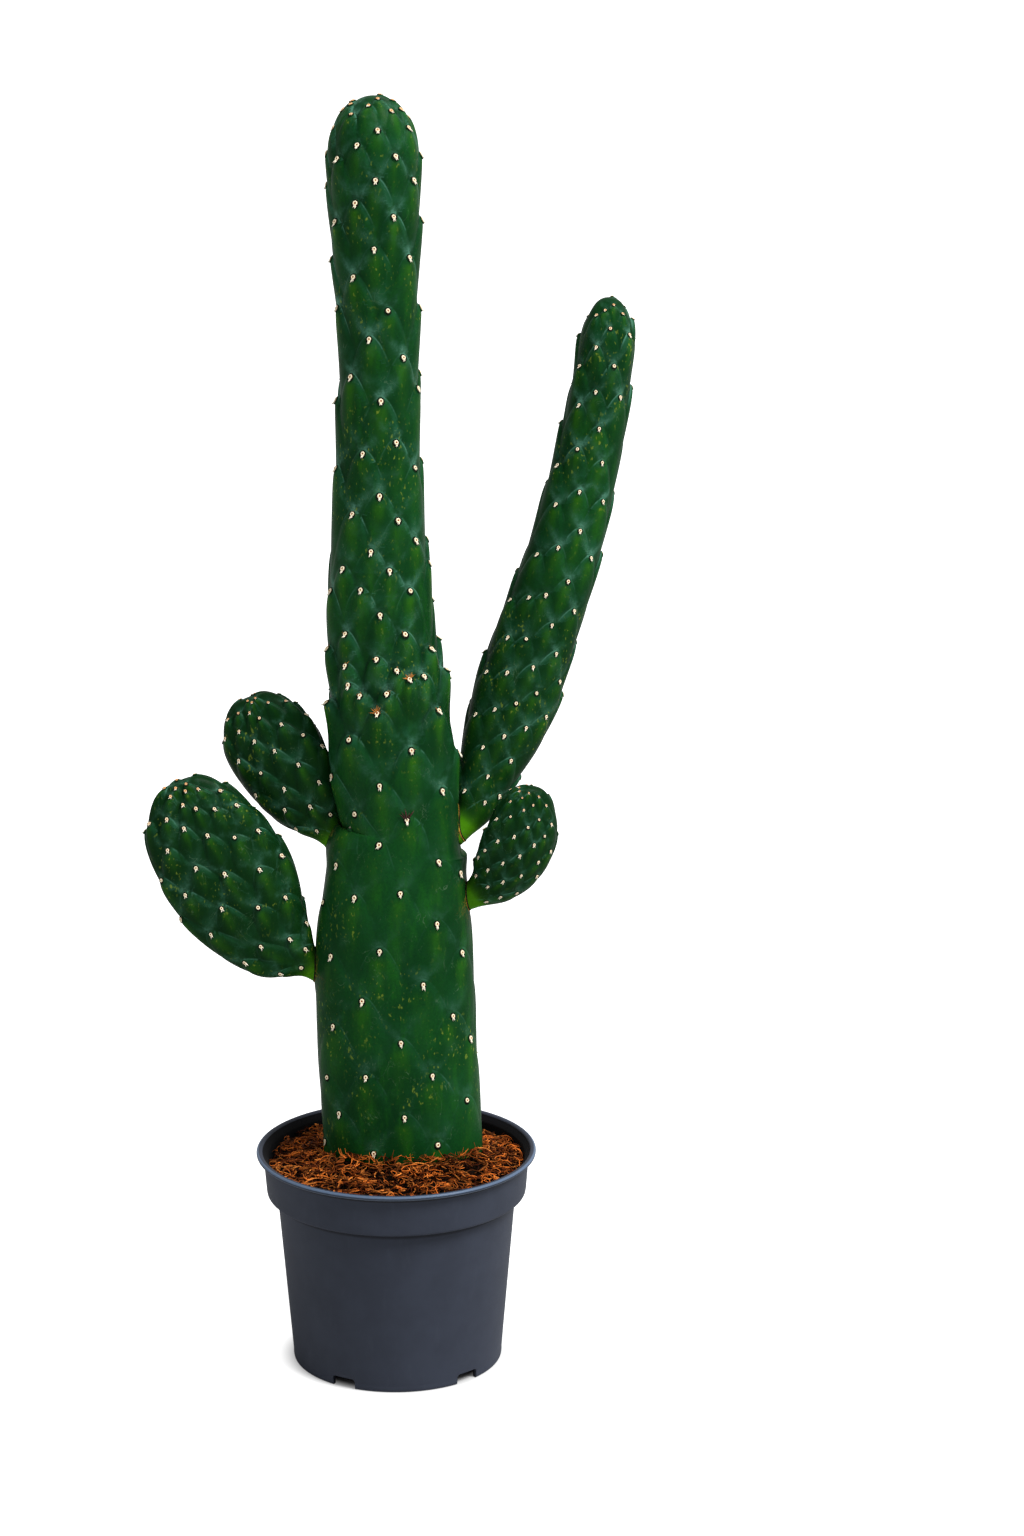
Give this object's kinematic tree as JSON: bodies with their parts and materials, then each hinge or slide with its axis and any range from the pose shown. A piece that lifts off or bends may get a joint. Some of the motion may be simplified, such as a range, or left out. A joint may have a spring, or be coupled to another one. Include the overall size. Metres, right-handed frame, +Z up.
{
  "type": "potted prickly pear cactus",
  "caption": "Columnar prickly pear cactus with a curved side arm and flat pads, rooted in coir in a round plastic grow pot with a drained, notched foot.",
  "frame": {"origin": "centre of the pot's foot, on the surface that it stands on", "axes": "+Z up along the trunk, +X to the plant's right as seen from its front, -Y towards the front"},
  "size_m": [0.1827, 0.105, 0.4743],
  "materials": {
    "pot_plastic": "satin",
    "coir": "matte",
    "cactus_skin": "satin"
  },
  "bodies": {
    "root": {"pot": "pot_plastic", "substrate": "coir", "trunk": "cactus_skin", "lower_left_pad": "cactus_skin", "upper_left_pad": "cactus_skin", "right_arm": "cactus_skin", "small_right_pad": "cactus_skin"}
  },
  "joints": []
}
